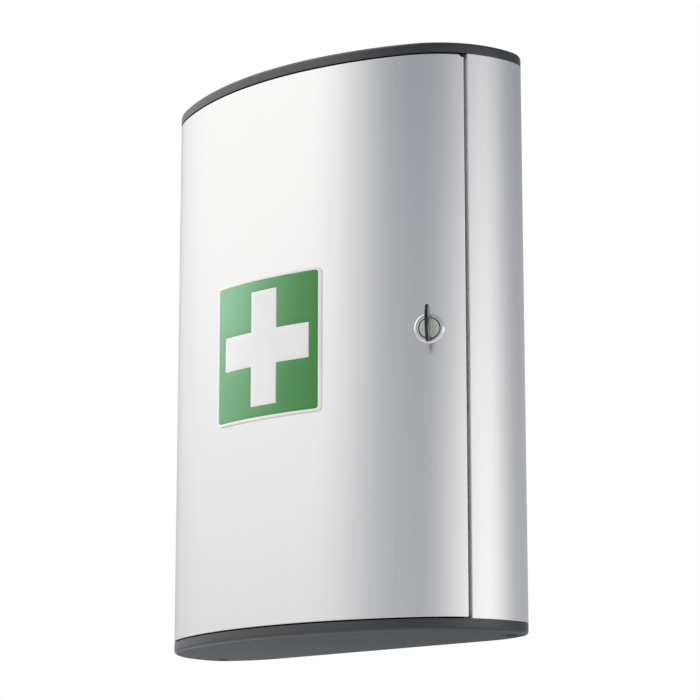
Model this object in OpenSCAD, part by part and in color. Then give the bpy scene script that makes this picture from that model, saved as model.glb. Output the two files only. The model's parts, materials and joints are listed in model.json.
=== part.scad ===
// Lockable medicine cabinet for a wall.
// +Z is up, the wall is the plane y = 0 and the front faces -Y. The origin is the centre of the wall holes.
// The plan is a D: a flat back, a long front arc, two tighter shoulder arcs and rounded rear corners.
// A direction in plan is an angle from straight ahead, positive towards the right-hand end.

/* [Cabinet] */
// Overall width
width = 302; // [298:1:306]
// Overall height
height = 400; // [380:5:440]
// Depth of the cabinet without its sign
depth = 118; // [116:0.5:120]
// Height of each cap that shows above or below the door
rim_height = 7.7; // [7.4:0.1:9]

/* [Plan outline] */
// Unit of the 39:80:89 triangle between the centres of the front arc and a shoulder arc
front_unit = 2.03; // [2:0.01:2.06]
// Unit of the 33:56:65 triangle between the centres of the arcs behind the widest place
rear_unit = 0.88; // [0.86:0.01:0.9]

/* [Door] */
// Thickness of the door sheet
door_sheet = 1.2; // [1:0.1:1.4]
// Direction of the seam beside the lock, from straight ahead
seam_angle = 57.8; // [57:0.1:58.5]
// Width of that seam
seam_gap = 2; // [1.5:0.1:2.5]
// Width of the gap beside the rolled hinge edge
hinge_gap = 6; // [5.8:0.1:6.5]
// Outer radius of the rolled hinge edge
knuckle_radius = 4; // [3.9:0.05:4.1]
// Gap between the door and each cap
door_gap = 1; // [0.5:0.1:1]
// Height of the plastic rib at each end of the door
rib_height = 8; // [7:0.5:10]
// Radius of the hinge pins
pin_radius = 1.5; // [1.4:0.05:1.6]

/* [Lock] */
// Direction of the lock's axis, from straight ahead
lock_angle = 37.3; // [36.5:0.1:37.5]
// Radius of the lock head
lock_head_radius = 10.3; // [9.5:0.1:11]
// Radius of the threaded barrel
barrel_radius = 8.5; // [8.3:0.1:8.6]
// Radius of the plug
plug_radius = 6.75; // [6.6:0.05:6.8]
// Radius of the key's bow
bow_radius = 12.5; // [11:0.5:13]

/* [Sign] */
// Side of the square sign
sign_size = 100; // [90:1:110]
// Length of the cross from end to end
cross_span = 81; // [70:1:84]
// Width of the arms of the cross
cross_arm = 24.5; // [20:0.5:28]

/* [Shelves] */
// Height of the lip along the front of each shelf
shelf_lip = 12; // [8:1:20]
// Thickness of the shelves
shelf_thickness = 2; // [1.5:0.5:3]

/* [Wall holes] */
// Distance between the wall holes, sideways
wall_pitch_x = 160; // [120:5:170]
// Distance between the wall holes, upwards
wall_pitch_z = 280; // [260:5:300]
// Radius of the wall holes
wall_hole_radius = 2.75; // [2.25:0.25:3]

/* [Hidden] */
$fn = 96;

// Plan outline. Each arc runs into the next, so their centres lie on one line with the point where they meet.
// Whole-number triangles between the centres keep every such point exact.
front_triangle = [39, 80, 89] * front_unit;
rear_triangle = [33, 56, 65] * rear_unit;
shoulder_radius = width / 2 - front_triangle[0];
widest_from_wall = depth - (front_triangle[2] - front_triangle[1]) - shoulder_radius;
flank_radius = widest_from_wall - (rear_triangle[2] - rear_triangle[1]);
shoulder = [front_triangle[0], -widest_from_wall];
apex = [0, front_triangle[1] - widest_from_wall];
apex_radius = shoulder_radius + front_triangle[2];
flank = [width / 2 - flank_radius, -widest_from_wall];
rear = [flank.x - rear_triangle[0], -widest_from_wall - rear_triangle[1]];
rear_radius = flank_radius + rear_triangle[2];
back_width = 2 * rear.x;
front_far = shoulder + [front_triangle[0], -front_triangle[1]];
rear_far = flank + 2 * [rear_triangle[0], rear_triangle[1]];

// Levels, as half heights about the middle of the cabinet
half_height = height / 2;
half_inside = half_height - rim_height;
half_door = half_inside - door_gap;
hair = 0.05;
through = 20;

// Caps
cap_skin = 2.5;
cap_wall = 3;
cap_rib = 1.6;
cap_rib_pitch = 45;
inner_sheet = 1.2;
inner_sheet_inset = 3.2;
locating_rib_height = 4;

// Side profiles
profile_wall = 1.5;
strip_edge = seam_angle + seam_gap / 2 / shoulder_radius * 180 / PI;
door_edge = seam_angle - seam_gap / 2 / shoulder_radius * 180 / PI;
flange_end = shoulder_radius - 14;
set_back = 0.1;
lip_length = 7;
lip_thickness = 1.3;
groove_gap = 1.3;
groove_wall = 1.3;
groove_mouth = back_width / 2 - 11;
groove_end = back_width / 2 - 3;
screw_place = [width / 2 - 13, -23];
screw_channel_radius = 3.8;
screw_hole_radius = 1.9;

// Back sheet
back_sheet = 1.2;
back_face = -profile_wall - hair;
wall_pad_radius = 8;

// Cap screws
screw_head_radius = 3.7;
screw_head_height = 2.4;
screw_recess_radius = 4.5;
screw_recess_depth = 3.6;
screw_length = 18;
boss_radius = 6.5;

// Hinge
hinge_angle = strip_edge - hinge_gap / shoulder_radius * 180 / PI;
knuckle_proud = 0.05;
hinge_distance = shoulder_radius - knuckle_radius + knuckle_proud;
boss_in_knuckle = knuckle_radius - door_sheet - hair;
knuckle_start = -12;
knuckle_end = 210;
bush_radius = 2.6;
bush_length = 5;
pin_play = 0.05;
pivot_boss_radius = 5;

// Door edge
return_depth = 7;
notch_width = 2.2;
notch_height = 1.6;
rib_inset = 9;

// Lock, measured along its axis from the outside of the door
head_seat = 0.9;
head_front = 2.4;
barrel_end = -19.4;
lug_height = 1.4;
plug_play = 0.05;
flat_distance = 7.7;
lug_radius = 7.6;
saddle_back = -3.2;
nut_height = 4;
nut_radius = 12.7;
shank = 7;
cam_front = -21;
cam_thickness = 2;
cam_width = 13;
cam_reach = 25;
tab_turn = 40;
lock_travel = 90;
wafer_count = 5;
wafer_pitch = 3;
wafer_size = [12.3, 5, 1];
keyway = [8.2, 2.2];
keyway_depth = 17;
blade = [7.4, 1.8];
blade_tip = -16.5;
key_shoulder = 3.6;
bow_centre = head_front + 15.5;
bow_thickness = 2;
bow_hole_radius = 3;
bow_hole_offset = 7;

// Strike
strike_thickness = 1.5;
strike_height = 36;
strike_foot = 9.5;
behind_flange = set_back + profile_wall + hair;
strike_rivet_pitch = 24;
strike_rivet_radius = 1.6;
buffer_size = [3.2, 4.5, 7];

// Sign
sign_base = 0.7;
sign_proud = 1.5;
sign_field_proud = 1.3;
sign_border = 2;
sign_corner = 4;

// Shelves
shelf_inset = 16;
shelf_lip_thickness = 1.6;
shelf_back = back_face - back_sheet - hair;
shelf_tongue = 88;
compartment = (2 * half_inside - 2 * shelf_thickness) / 3;
lower_shelf_top = -half_inside + compartment + shelf_thickness;
upper_shelf_top = lower_shelf_top + compartment + shelf_thickness;
clip_height = 9;
clip_radius = 6.4;
clip_arm = [9, 6, 3];
shelf_rivet_places = [-60, 0, 60];
shelf_rivet_radius = 1.6;

// Unit vector in plan for a direction from straight ahead
function heading(angle) = [sin(angle), -cos(angle)];

hinge = shoulder + hinge_distance * heading(hinge_angle);

// Zones of the plan in which the outline is one arc
module front_zone() {
    polygon([[-shoulder.x, shoulder.y], [-front_far.x, front_far.y], front_far, shoulder]);
}

module shoulder_zone() {
    polygon([shoulder, front_far, [width, front_far.y], [width, shoulder.y]]);
}

module flank_zone() {
    polygon([flank, [width, flank.y], [width, rear_far.y], rear_far]);
}

module rear_zone() {
    polygon([[rear.x, flank.y], flank, rear_far, [rear.x, rear_far.y]]);
}

// Area of the plan outline, drawn in by an inset
module plan_area(inset) {
    intersection() {
        translate(apex) circle(r = apex_radius - inset);
        front_zone();
    }
    translate([-rear.x, -widest_from_wall]) square([2 * rear.x, widest_from_wall - inset]);
    for (side = [0, 1]) {
        mirror([side, 0]) {
            intersection() {
                translate(shoulder) circle(r = shoulder_radius - inset);
                shoulder_zone();
            }
            intersection() {
                translate(flank) circle(r = flank_radius - inset);
                flank_zone();
            }
            intersection() {
                translate(rear) circle(r = rear_radius - inset);
                rear_zone();
            }
        }
    }
}

module plate(inset, bottom, thickness) {
    translate([0, 0, bottom]) linear_extrude(thickness) plan_area(inset);
}

// Wall that follows the plan outline, as an area
module wall_area(inset, thickness) {
    difference() {
        plan_area(inset);
        plan_area(inset + thickness);
    }
}

// Everything in front of two rays from the shoulders' centres
module front_region(right, left) {
    right_ray = shoulder + width * heading(right);
    left_ray = shoulder + width * heading(left);
    polygon([shoulder, right_ray, [right_ray.x, -2 * width], [-left_ray.x, -2 * width],
        [-left_ray.x, left_ray.y], [-shoulder.x, shoulder.y]]);
}

module left_hand() {
    mirror([1, 0, 0]) children();
}

module upside_down() {
    mirror([0, 0, 1]) children();
}

// Places children on the shoulder arc's radius: x outwards, y along the outline towards the wall
module on_shoulder(angle, distance) {
    translate(shoulder) rotate(angle - 90) translate([distance, 0]) children();
}

// Places children on the lock's axis: z outwards, x downwards, y towards the seam
module on_lock() {
    on_shoulder(lock_angle, shoulder_radius) rotate([0, 90, 0]) children();
}

// An upright cylinder about the shoulder's centre, drawn in the lock's own axes
module shoulder_cylinder(radius) {
    translate([0, 0, -shoulder_radius]) rotate([0, 90, 0]) cylinder(r = radius, h = 60, center = true, $fn = 720);
}

// ---------- cabinet ----------

// Section of a cap from an arc's centre, or from the middle of the straight back, to the rounded lower edge
module cap_section(reach) {
    difference() {
        square([reach, rim_height]);
        translate([reach - cap_skin, cap_skin]) difference() {
            translate([0, -cap_skin - 1]) square([cap_skin + 1, cap_skin + 1]);
            circle(r = cap_skin);
        }
    }
}

// Turns the section about an arc's centre; children give the zone that the arc keeps
module cap_sector(centre, radius) {
    intersection() {
        translate([centre.x, centre.y, 0]) mirror([1, 0, 0]) rotate_extrude() cap_section(radius);
        translate([0, 0, -1]) linear_extrude(rim_height + 2) children();
    }
}

module cap_blank() {
    cap_sector(apex, apex_radius) front_zone();
    for (side = [0, 1]) {
        mirror([side, 0, 0]) {
            cap_sector(shoulder, shoulder_radius) shoulder_zone();
            cap_sector(flank, flank_radius) flank_zone();
            cap_sector(rear, rear_radius) rear_zone();
        }
    }
    translate([-rear.x, -widest_from_wall, 0]) rotate([90, 0, 90])
        linear_extrude(2 * rear.x) cap_section(widest_from_wall);
}

module bottom_cap_body() {
    translate([0, 0, -half_height]) {
        difference() {
            union() {
                difference() {
                    cap_blank();
                    plate(cap_wall, cap_skin, rim_height);
                }
                cap_ribs();
                for (side = [-1, 1]) {
                    translate([side * screw_place.x, screw_place.y, 0.5])
                        cylinder(r = boss_radius, h = rim_height - 0.5);
                }
                pivot_boss();
                locating_ribs();
            }
            for (side = [-1, 1]) {
                translate([side * screw_place.x, screw_place.y, -1]) {
                    cylinder(r = screw_recess_radius, h = screw_recess_depth + 1);
                    cylinder(r = screw_hole_radius + 0.2, h = rim_height + 2);
                }
            }
            left_hand() translate([hinge.x, hinge.y, rim_height - bush_length - hair])
                cylinder(r = bush_radius + hair / 2, h = bush_length + 1);
        }
    }
}

// Short ribs that stand above a cap's wall and locate the side profiles
module locating_ribs() {
    from = shoulder + width * heading(66);
    to = shoulder + width * heading(86);
    for (side = [0, 1]) {
        mirror([side, 0, 0]) translate([0, 0, rim_height - 1])
            linear_extrude(locating_rib_height + 1) intersection() {
                wall_area(profile_wall + 0.1, cap_wall - profile_wall);
                polygon([shoulder, from, to]);
            }
    }
}

// Stiffening ribs inside the hollow of a cap, under the inner sheet
module cap_ribs() {
    intersection() {
        plate(1, cap_skin - 1, rim_height - inner_sheet - cap_skin + 1 - hair);
        union() {
            for (x = [-2 * cap_rib_pitch : cap_rib_pitch : 2 * cap_rib_pitch]) {
                translate([x - cap_rib / 2, -depth, 0]) cube([cap_rib, depth, rim_height]);
            }
            translate([-width / 2, -depth / 2, 0]) cube([width, cap_rib, rim_height]);
        }
    }
}

module pivot_boss() {
    intersection() {
        left_hand() translate([hinge.x, hinge.y, 0]) cylinder(r = pivot_boss_radius, h = rim_height);
        plate(1, 1, rim_height - 1);
    }
}

module bottom_cap() {
    color("dimgray") bottom_cap_body();
}

module top_cap() {
    color("dimgray") upside_down() bottom_cap_body();
}

// Sheet that closes the hollow of a cap and makes the floor or the ceiling of the inside
module inner_sheet_body() {
    difference() {
        plate(inner_sheet_inset, -half_inside - inner_sheet, inner_sheet);
        for (side = [-1, 1]) {
            translate([side * screw_place.x, screw_place.y, -half_height]) cylinder(r = boss_radius + 0.2, h = through);
        }
        left_hand() translate([hinge.x, hinge.y, -half_height]) cylinder(r = pivot_boss_radius + 0.2, h = through);
    }
}

module floor_panel() {
    color("lightgray") inner_sheet_body();
}

module ceiling_panel() {
    color("lightgray") upside_down() inner_sheet_body();
}

// Extruded profile: outer strip, rebate flange with lip, screw channel and groove for the back sheet
module side_profile() {
    length = 2 * (half_inside - hair);
    linear_extrude(length, center = true) difference() {
        side_section();
        translate(screw_place) circle(r = screw_hole_radius);
    }
}

module side_section() {
    groove_front = -profile_wall - groove_gap - groove_wall;
    intersection() {
        wall_area(0, profile_wall);
        side_region();
    }
    on_shoulder(strip_edge, 0) {
        translate([flange_end, set_back]) square([shoulder_radius - flange_end - 0.2, profile_wall]);
        translate([flange_end, -lip_length]) square([lip_thickness, lip_length + 1]);
    }
    translate([groove_mouth, groove_front]) square([groove_end - groove_mouth, groove_wall]);
    translate([groove_end - groove_wall, groove_front]) square([groove_wall, groove_gap + groove_wall + 1]);
    translate(screw_place) circle(r = screw_channel_radius);
    screw_channel_web();
}

// Everything behind the seam's ray and outside the mouth of the groove
module side_region() {
    ray = shoulder + width * heading(strip_edge);
    polygon([shoulder, ray, [ray.x, 10], [groove_mouth, 10], [groove_mouth, shoulder.y]]);
}

module screw_channel_web() {
    to_channel = screw_place - flank;
    reach = norm(to_channel);
    translate(flank) rotate(atan2(to_channel.y, to_channel.x))
        translate([reach + screw_hole_radius + 0.5, -profile_wall / 2])
            square([flank_radius - reach - screw_hole_radius - 0.5 - profile_wall / 2, profile_wall]);
}

module right_side_profile() {
    color("silver") side_profile();
}

module left_side_profile() {
    color("silver") left_hand() side_profile();
}

module back_panel() {
    panel_width = 2 * (groove_end - groove_wall) - 0.4;
    panel_height = 2 * half_inside - 0.2;
    color("gainsboro") difference() {
        translate([-panel_width / 2, back_face - back_sheet, -panel_height / 2])
            cube([panel_width, back_sheet, panel_height]);
        at_wall_holes() cylinder(r = wall_hole_radius, h = through, center = true);
        for (top = [lower_shelf_top, upper_shelf_top]) {
            at_shelf_rivets(top) cylinder(r = shelf_rivet_radius + 0.1, h = through, center = true);
        }
    }
}

module at_wall_holes() {
    for (x = [-1, 1], z = [-1, 1]) {
        translate([x * wall_pitch_x / 2, 0, z * wall_pitch_z / 2]) rotate([90, 0, 0]) children();
    }
}

module wall_pads() {
    color("black") at_wall_holes() difference() {
        cylinder(r = wall_pad_radius, h = -back_face);
        translate([0, 0, -1]) cylinder(r = wall_hole_radius, h = 5);
    }
}

// Places children on the rivets in a shelf's rear flange, with z towards the front
module at_shelf_rivets(top) {
    for (x = shelf_rivet_places) {
        translate([x, shelf_back, top + shelf_lip / 2]) rotate([90, 0, 0]) children();
    }
}

module shelf(top) {
    lip_end = 80;
    difference() {
        union() {
            plate(shelf_inset, top - shelf_thickness, shelf_thickness);
            translate([-shelf_tongue, -shelf_inset - 1, top - shelf_thickness])
                cube([2 * shelf_tongue, shelf_inset + 1 + shelf_back, shelf_thickness]);
            translate([-shelf_tongue, shelf_back - shelf_lip_thickness, top - shelf_thickness])
                cube([2 * shelf_tongue, shelf_lip_thickness, shelf_lip + shelf_thickness]);
            translate([0, 0, top - 1]) linear_extrude(shelf_lip + 1) intersection() {
                wall_area(shelf_inset, shelf_lip_thickness);
                front_region(lip_end, lip_end);
            }
        }
        at_shelf_rivets(top) cylinder(r = shelf_rivet_radius + 0.1, h = through, center = true);
    }
}

module lower_shelf() {
    color("whitesmoke") shelf(lower_shelf_top);
}

module upper_shelf() {
    color("whitesmoke") shelf(upper_shelf_top);
}

// Clip that snaps on the screw channel and carries a corner of a shelf
module shelf_clip() {
    to_flank = screw_place - flank;
    web_angle = atan2(to_flank.y, to_flank.x);
    gap_half = 42;
    translate([screw_place.x, screw_place.y, -clip_height]) rotate([0, 0, web_angle]) {
        rotate([0, 0, gap_half]) rotate_extrude(angle = 360 - 2 * gap_half)
            translate([screw_channel_radius + hair, 0])
                square([clip_radius - screw_channel_radius - hair, clip_height]);
        translate([-clip_radius - clip_arm.x + 1, -clip_arm.y / 2, clip_height - clip_arm.z]) cube(clip_arm);
    }
}

module shelf_clips() {
    color("whitesmoke") for (side = [0, 1], top = [lower_shelf_top, upper_shelf_top]) {
        mirror([side, 0, 0]) translate([0, 0, top - shelf_thickness - hair]) shelf_clip();
    }
}

module shelf_rivets() {
    head = 1;
    tail = -hair - back_sheet - head;
    color("silver") for (top = [lower_shelf_top, upper_shelf_top]) {
        at_shelf_rivets(top) {
            translate([0, 0, tail]) cylinder(r = 1.4 * shelf_rivet_radius, h = head);
            translate([0, 0, tail]) cylinder(r = shelf_rivet_radius, h = shelf_lip_thickness + head - tail);
            translate([0, 0, shelf_lip_thickness])
                cylinder(r1 = 2 * shelf_rivet_radius, r2 = shelf_rivet_radius + hair, h = head);
        }
    }
}

module pivot_bushes() {
    color("ivory") for (way = [0, 1]) {
        mirror([0, 0, way]) left_hand() translate([hinge.x, hinge.y, -half_inside - bush_length]) difference() {
            cylinder(r = bush_radius, h = bush_length);
            translate([0, 0, -1]) cylinder(r = pin_radius + pin_play, h = bush_length + 2);
        }
    }
}

module strike_plate() {
    inner = flange_end - strike_thickness - hair;
    color("lightsteelblue") on_shoulder(strip_edge, 0) difference() {
        union() {
            translate([inner, -lip_length, -strike_height / 2])
                cube([strike_thickness, lip_length + behind_flange + strike_thickness, strike_height]);
            translate([inner, behind_flange, -strike_height / 2])
                cube([strike_foot, strike_thickness, strike_height]);
        }
        at_strike_rivets() cylinder(r = strike_rivet_radius + 0.1, h = through, center = true);
    }
}

// Places children on the strike's rivets, in the flange's own axes, with z along the rivet
module at_strike_rivets() {
    for (way = [-1, 1]) {
        translate([flange_end + 4.6, 0, way * strike_rivet_pitch / 2]) rotate([-90, 0, 0]) children();
    }
}

module strike_rivets() {
    color("silver") on_shoulder(strip_edge, 0) at_strike_rivets() translate([0, 0, behind_flange]) {
        translate([0, 0, strike_thickness]) cylinder(r1 = 2.6, r2 = 1.8, h = 0.9);
        cylinder(r = strike_rivet_radius, h = strike_thickness + 0.1);
    }
}

module closing_buffers() {
    color("black") for (way = [0, 1]) {
        mirror([0, 0, way]) on_shoulder(strip_edge, flange_end + lip_thickness + hair)
            translate([0, -buffer_size.y - 2, half_door - buffer_size.z - 0.5]) cube(buffer_size);
    }
}

module cap_screws() {
    color("silver") for (side = [-1, 1], way = [0, 1]) {
        mirror([0, 0, way]) translate([side * screw_place.x, screw_place.y, -half_height + screw_recess_depth]) {
            difference() {
                translate([0, 0, -screw_head_height]) cylinder(r1 = screw_head_radius - 0.7,
                    r2 = screw_head_radius, h = screw_head_height);
                translate([0, 0, -screw_head_height - 1]) screw_cross();
            }
            translate([0, 0, -0.2]) cylinder(r = screw_hole_radius - hair, h = screw_length);
        }
    }
}

// Cross-shaped drive in a screw head
module screw_cross() {
    for (turn = [0, 90]) rotate([0, 0, turn]) translate([-2, -0.4, 0]) cube([4, 0.8, 2.4]);
}

// ---------- door ----------

module door_panel() {
    color("silver") difference() {
        linear_extrude(2 * half_door, center = true) door_section();
        on_shoulder(door_edge, shoulder_radius - rib_inset - 1)
            translate([0, -notch_width, half_door - notch_height]) cube([rib_inset + 2, notch_width + 1, 10]);
        on_lock() lock_hole(0.1);
    }
}

module door_section() {
    intersection() {
        wall_area(0, door_sheet);
        front_region(door_edge, hinge_angle);
    }
    on_shoulder(door_edge, shoulder_radius - return_depth) translate([0, -door_sheet - set_back])
        square([return_depth - 0.2, door_sheet]);
    left_hand() on_shoulder(hinge_angle, hinge_distance) difference() {
        circle(r = knuckle_radius);
        circle(r = knuckle_radius - door_sheet);
        knuckle_mouth();
    }
}

// Part of the circle that the rolled edge leaves open, on the side of the door
module knuckle_mouth() {
    middle = (knuckle_start + 360 + knuckle_end) / 2;
    polygon([[0, 0], for (turn = [knuckle_end, middle, knuckle_start]) 4 * knuckle_radius * [cos(turn), sin(turn)]]);
}

// Round hole with two flats, which keeps the lock from turning
module lock_hole(play) {
    intersection() {
        cylinder(r = barrel_radius + play, h = 60, center = true);
        cube([2 * (flat_distance + play), 40, 60], center = true);
    }
}

// Curved plastic rib in an end of the door, with the boss for the hinge pin
module door_rib(fills_notch) {
    knuckle_room = knuckle_radius + 0.7;
    rib_start = hinge_angle - knuckle_room / hinge_distance * 180 / PI;
    rib_end = door_edge - (set_back + door_sheet + 0.15) / shoulder_radius * 180 / PI;
    difference() {
        union() {
            translate([0, 0, half_door - rib_height]) linear_extrude(rib_height) {
                intersection() {
                    wall_area(door_sheet + hair, rib_inset - door_sheet - hair);
                    front_region(rib_end, rib_start);
                }
                left_hand() on_shoulder(hinge_angle, hinge_distance) {
                    circle(r = boss_in_knuckle);
                    translate([-1.6, -5.6]) square([4.1, 5.6]);
                }
            }
            if (fills_notch) on_shoulder(door_edge, 0) intersection() {
                translate([shoulder_radius - rib_inset, -notch_width + 0.1, half_door - notch_height + 0.1])
                    cube([rib_inset + 1, notch_width - 0.1, notch_height - 0.1]);
                cylinder(r = shoulder_radius, h = height);
            }
        }
        left_hand() translate([hinge.x, hinge.y, 0]) cylinder(r = pin_radius + 0.02, h = height);
    }
}

module door_top_rib() {
    color("dimgray") door_rib(fills_notch = true);
}

module door_bottom_rib() {
    color("dimgray") upside_down() door_rib(fills_notch = false);
}

module hinge_pins() {
    color("silver") for (way = [0, 1]) {
        mirror([0, 0, way]) left_hand() translate([hinge.x, hinge.y, half_door - rib_height - 2])
            cylinder(r = pin_radius, h = rib_height + 2 + door_gap + bush_length - 0.2);
    }
}

// Square with round corners, drawn in the plane of the front and reaching back through the sheet
module sign_column(side, corner) {
    core = side - 2 * corner;
    translate([0, through / 2 - depth, 0]) rotate([90, 0, 0]) {
        translate([-core / 2, -side / 2, 0]) cube([core, side, through]);
        translate([-side / 2, -core / 2, 0]) cube([side, core, through]);
        for (x = [-1, 1], z = [-1, 1]) {
            translate([x * core / 2, z * core / 2, 0]) cylinder(r = corner, h = through);
        }
    }
}

module cross_column(span, arm) {
    translate([-span / 2, -depth - through / 2, -arm / 2]) cube([span, through, arm]);
    translate([-arm / 2, -depth - through / 2, -span / 2]) cube([arm, through, span]);
}

// Curved shell between two distances in front of the door sheet
module sign_shell(from, to) {
    half_turn = 16;
    translate([apex.x, apex.y, -sign_size / 2]) rotate([0, 0, -90 - half_turn])
        rotate_extrude(angle = 2 * half_turn) translate([apex_radius + from, 0]) square([to - from, sign_size]);
}

module sign_plate() {
    color("white") {
        intersection() {
            sign_shell(0.02, sign_base);
            sign_column(sign_size, sign_corner);
        }
        intersection() {
            sign_shell(0.02, sign_proud);
            difference() {
                sign_column(sign_size, sign_corner);
                sign_column(sign_size - 2 * sign_border, sign_corner - sign_border + 0.5);
            }
        }
        intersection() {
            sign_shell(0.02, sign_proud);
            cross_column(cross_span, cross_arm);
        }
    }
}

module sign_field() {
    play = 0.1;
    color("seagreen") intersection() {
        sign_shell(sign_base + 0.02, sign_field_proud);
        difference() {
            sign_column(sign_size - 2 * sign_border - 2 * play, sign_corner - sign_border + 0.5 - play);
            cross_column(cross_span + 2 * play, cross_arm + 2 * play);
        }
    }
}

module lock_seat_ring() {
    color("dimgray") on_lock() difference() {
        translate([0, 0, -2]) cylinder(r = lock_head_radius - 0.4, h = head_seat + 2 - hair);
        translate([0, 0, -3]) cylinder(r = barrel_radius + 0.1, h = 6);
        shoulder_cylinder(shoulder_radius + 0.02);
    }
}

module lock_housing() {
    bevel = 0.8;
    color("lightsteelblue") on_lock() difference() {
        union() {
            translate([0, 0, head_seat]) cylinder(r = lock_head_radius, h = head_front - head_seat - bevel);
            translate([0, 0, head_front - bevel])
                cylinder(r1 = lock_head_radius, r2 = lock_head_radius - bevel, h = bevel);
            intersection() {
                translate([0, 0, barrel_end]) cylinder(r = barrel_radius, h = head_seat + 0.5 - barrel_end);
                cube([2 * flat_distance, 40, 60], center = true);
            }
            stop_lug();
        }
        translate([0, 0, barrel_end - 5]) cylinder(r = plug_radius + plug_play, h = 40);
    }
}

// Raised arc on the end of the barrel; the tab of the stop disc runs in its gap
module stop_lug() {
    lug_turn = 360 - lock_travel - tab_turn - 3;
    start = lock_travel + tab_turn / 2 + 1.5;
    translate([0, 0, barrel_end - lug_height]) rotate([0, 0, start]) rotate_extrude(angle = lug_turn)
        translate([plug_radius - 1, 0]) square([lug_radius - plug_radius + 1, lug_height + 0.1]);
}

module lock_saddle() {
    color("dimgray") on_lock() intersection() {
        difference() {
            translate([0, 0, saddle_back]) cylinder(r = 12, h = 4);
            lock_hole(0.1);
        }
        shoulder_cylinder(shoulder_radius - door_sheet - hair);
    }
}

module lock_nut() {
    color("silver") on_lock() translate([0, 0, saddle_back - nut_height - hair]) difference() {
        cylinder(r = nut_radius, h = nut_height, $fn = 6);
        translate([0, 0, -1]) cylinder(r = barrel_radius + hair, h = nut_height + 2);
    }
}

// ---------- plug ----------

module lock_plug() {
    body_end = barrel_end - hair;
    shank_end = cam_front - cam_thickness - 0.1;
    color("silver") on_lock() difference() {
        union() {
            translate([0, 0, body_end]) cylinder(r = plug_radius, h = head_front - 0.2 - body_end);
            translate([-shank / 2, -shank / 2, shank_end]) cube([shank, shank, body_end - shank_end + 1]);
        }
        translate([-keyway.x / 2, -keyway.y / 2, -keyway_depth]) cube([keyway.x, keyway.y, keyway_depth + 5]);
        at_wafers() cube(wafer_size + [0.2, 0.2, 0.2], center = true);
        translate([0, 0, shank_end - 1]) cylinder(r = screw_hole_radius - 0.4, h = 6);
    }
}

module at_wafers() {
    for (row = [0 : wafer_count - 1]) translate([0, 0, -2.5 - row * wafer_pitch]) children();
}

module lock_wafers() {
    color("gold") on_lock() at_wafers() difference() {
        cube(wafer_size, center = true);
        cube([keyway.x + 0.1, keyway.y + 0.1, 5], center = true);
    }
}

// Disc on the square end of the plug, with the tab that stops it after a quarter turn
module stop_disc() {
    disc_radius = plug_radius - 0.1;
    color("silver") on_lock() translate([0, 0, cam_front + hair]) difference() {
        union() {
            cylinder(r = disc_radius, h = lug_height);
            rotate([0, 0, -tab_turn / 2]) rotate_extrude(angle = tab_turn)
                translate([disc_radius - 1, 0]) square([lug_radius - disc_radius + 1, lug_height]);
        }
        square_hole();
    }
}

module square_hole() {
    cube([shank + 0.1, shank + 0.1, through], center = true);
}

module cam() {
    color("lightsteelblue") on_lock() translate([0, 0, cam_front - cam_thickness]) difference() {
        union() {
            cylinder(r = cam_width / 2 + 1, h = cam_thickness);
            translate([0, -cam_width / 2, 0]) cube([cam_reach - cam_width / 2, cam_width, cam_thickness]);
            translate([cam_reach - cam_width / 2, 0, 0]) cylinder(r = cam_width / 2, h = cam_thickness);
        }
        square_hole();
    }
}

module cam_screw() {
    head_top = cam_front - cam_thickness - 0.1 - hair;
    color("silver") on_lock() difference() {
        union() {
            translate([0, 0, head_top - 1.8]) cylinder(r1 = 4.1, r2 = 4.6, h = 1.8);
            translate([0, 0, head_top - 0.1]) cylinder(r = screw_hole_radius - 0.45, h = 4.5);
        }
        translate([0, 0, head_top - 3]) screw_cross();
    }
}

// ---------- key ----------

module key() {
    neck = [10, bow_thickness];
    color("dimgray") on_lock() difference() {
        union() {
            translate([-blade.x / 2, -blade.y / 2, blade_tip]) cube([blade.x, blade.y, key_shoulder + 1 - blade_tip]);
            translate([-neck.x / 2, -neck.y / 2, key_shoulder]) cube([neck.x, neck.y, bow_centre - key_shoulder]);
            translate([0, 0, bow_centre]) rotate([90, 0, 0])
                cylinder(r = bow_radius, h = bow_thickness, center = true);
        }
        translate([0, 0, bow_centre + bow_hole_offset]) rotate([90, 0, 0])
            cylinder(r = bow_hole_radius, h = 10, center = true);
        key_cuts();
    }
}

// Cuts along both edges of the blade, and its bevelled tip
module key_cuts() {
    depths = [1.1, 0.7, 1.4, 0.9, 1.2];
    for (row = [0 : wafer_count - 1]) {
        translate([-blade.x / 2, 0, -2.5 - row * wafer_pitch]) rotate([0, 45, 0])
            cube([depths[row], 5, depths[row]], center = true);
        translate([blade.x / 2, 0, -1 - row * wafer_pitch]) rotate([0, 45, 0])
            cube([depths[wafer_count - 1 - row], 5, depths[wafer_count - 1 - row]], center = true);
    }
    for (way = [-1, 1]) {
        translate([way * blade.x / 2, 0, blade_tip]) rotate([0, 45, 0]) cube([3, 5, 3], center = true);
    }
}

top_cap();
bottom_cap();
left_side_profile();
right_side_profile();
back_panel();
wall_pads();
floor_panel();
ceiling_panel();
lower_shelf();
upper_shelf();
shelf_clips();
shelf_rivets();
pivot_bushes();
strike_plate();
strike_rivets();
closing_buffers();
cap_screws();
door_panel();
door_top_rib();
door_bottom_rib();
hinge_pins();
sign_plate();
sign_field();
lock_seat_ring();
lock_housing();
lock_saddle();
lock_nut();
lock_plug();
lock_wafers();
stop_disc();
cam();
cam_screw();
key();
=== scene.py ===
# %% [markdown]
# # A lockable medicine cabinet
# The real cabinet is a D in plan: a flat back on the wall, a long shallow front and two tighter shoulders.
# Its door is bent aluminium sheet, and its two ends are aluminium extrusions. A dark moulded cap closes it
# above and below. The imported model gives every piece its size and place. This lesson gives the pieces their
# surfaces and finishes, and never moves them.

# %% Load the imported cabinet
import json
import math

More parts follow.
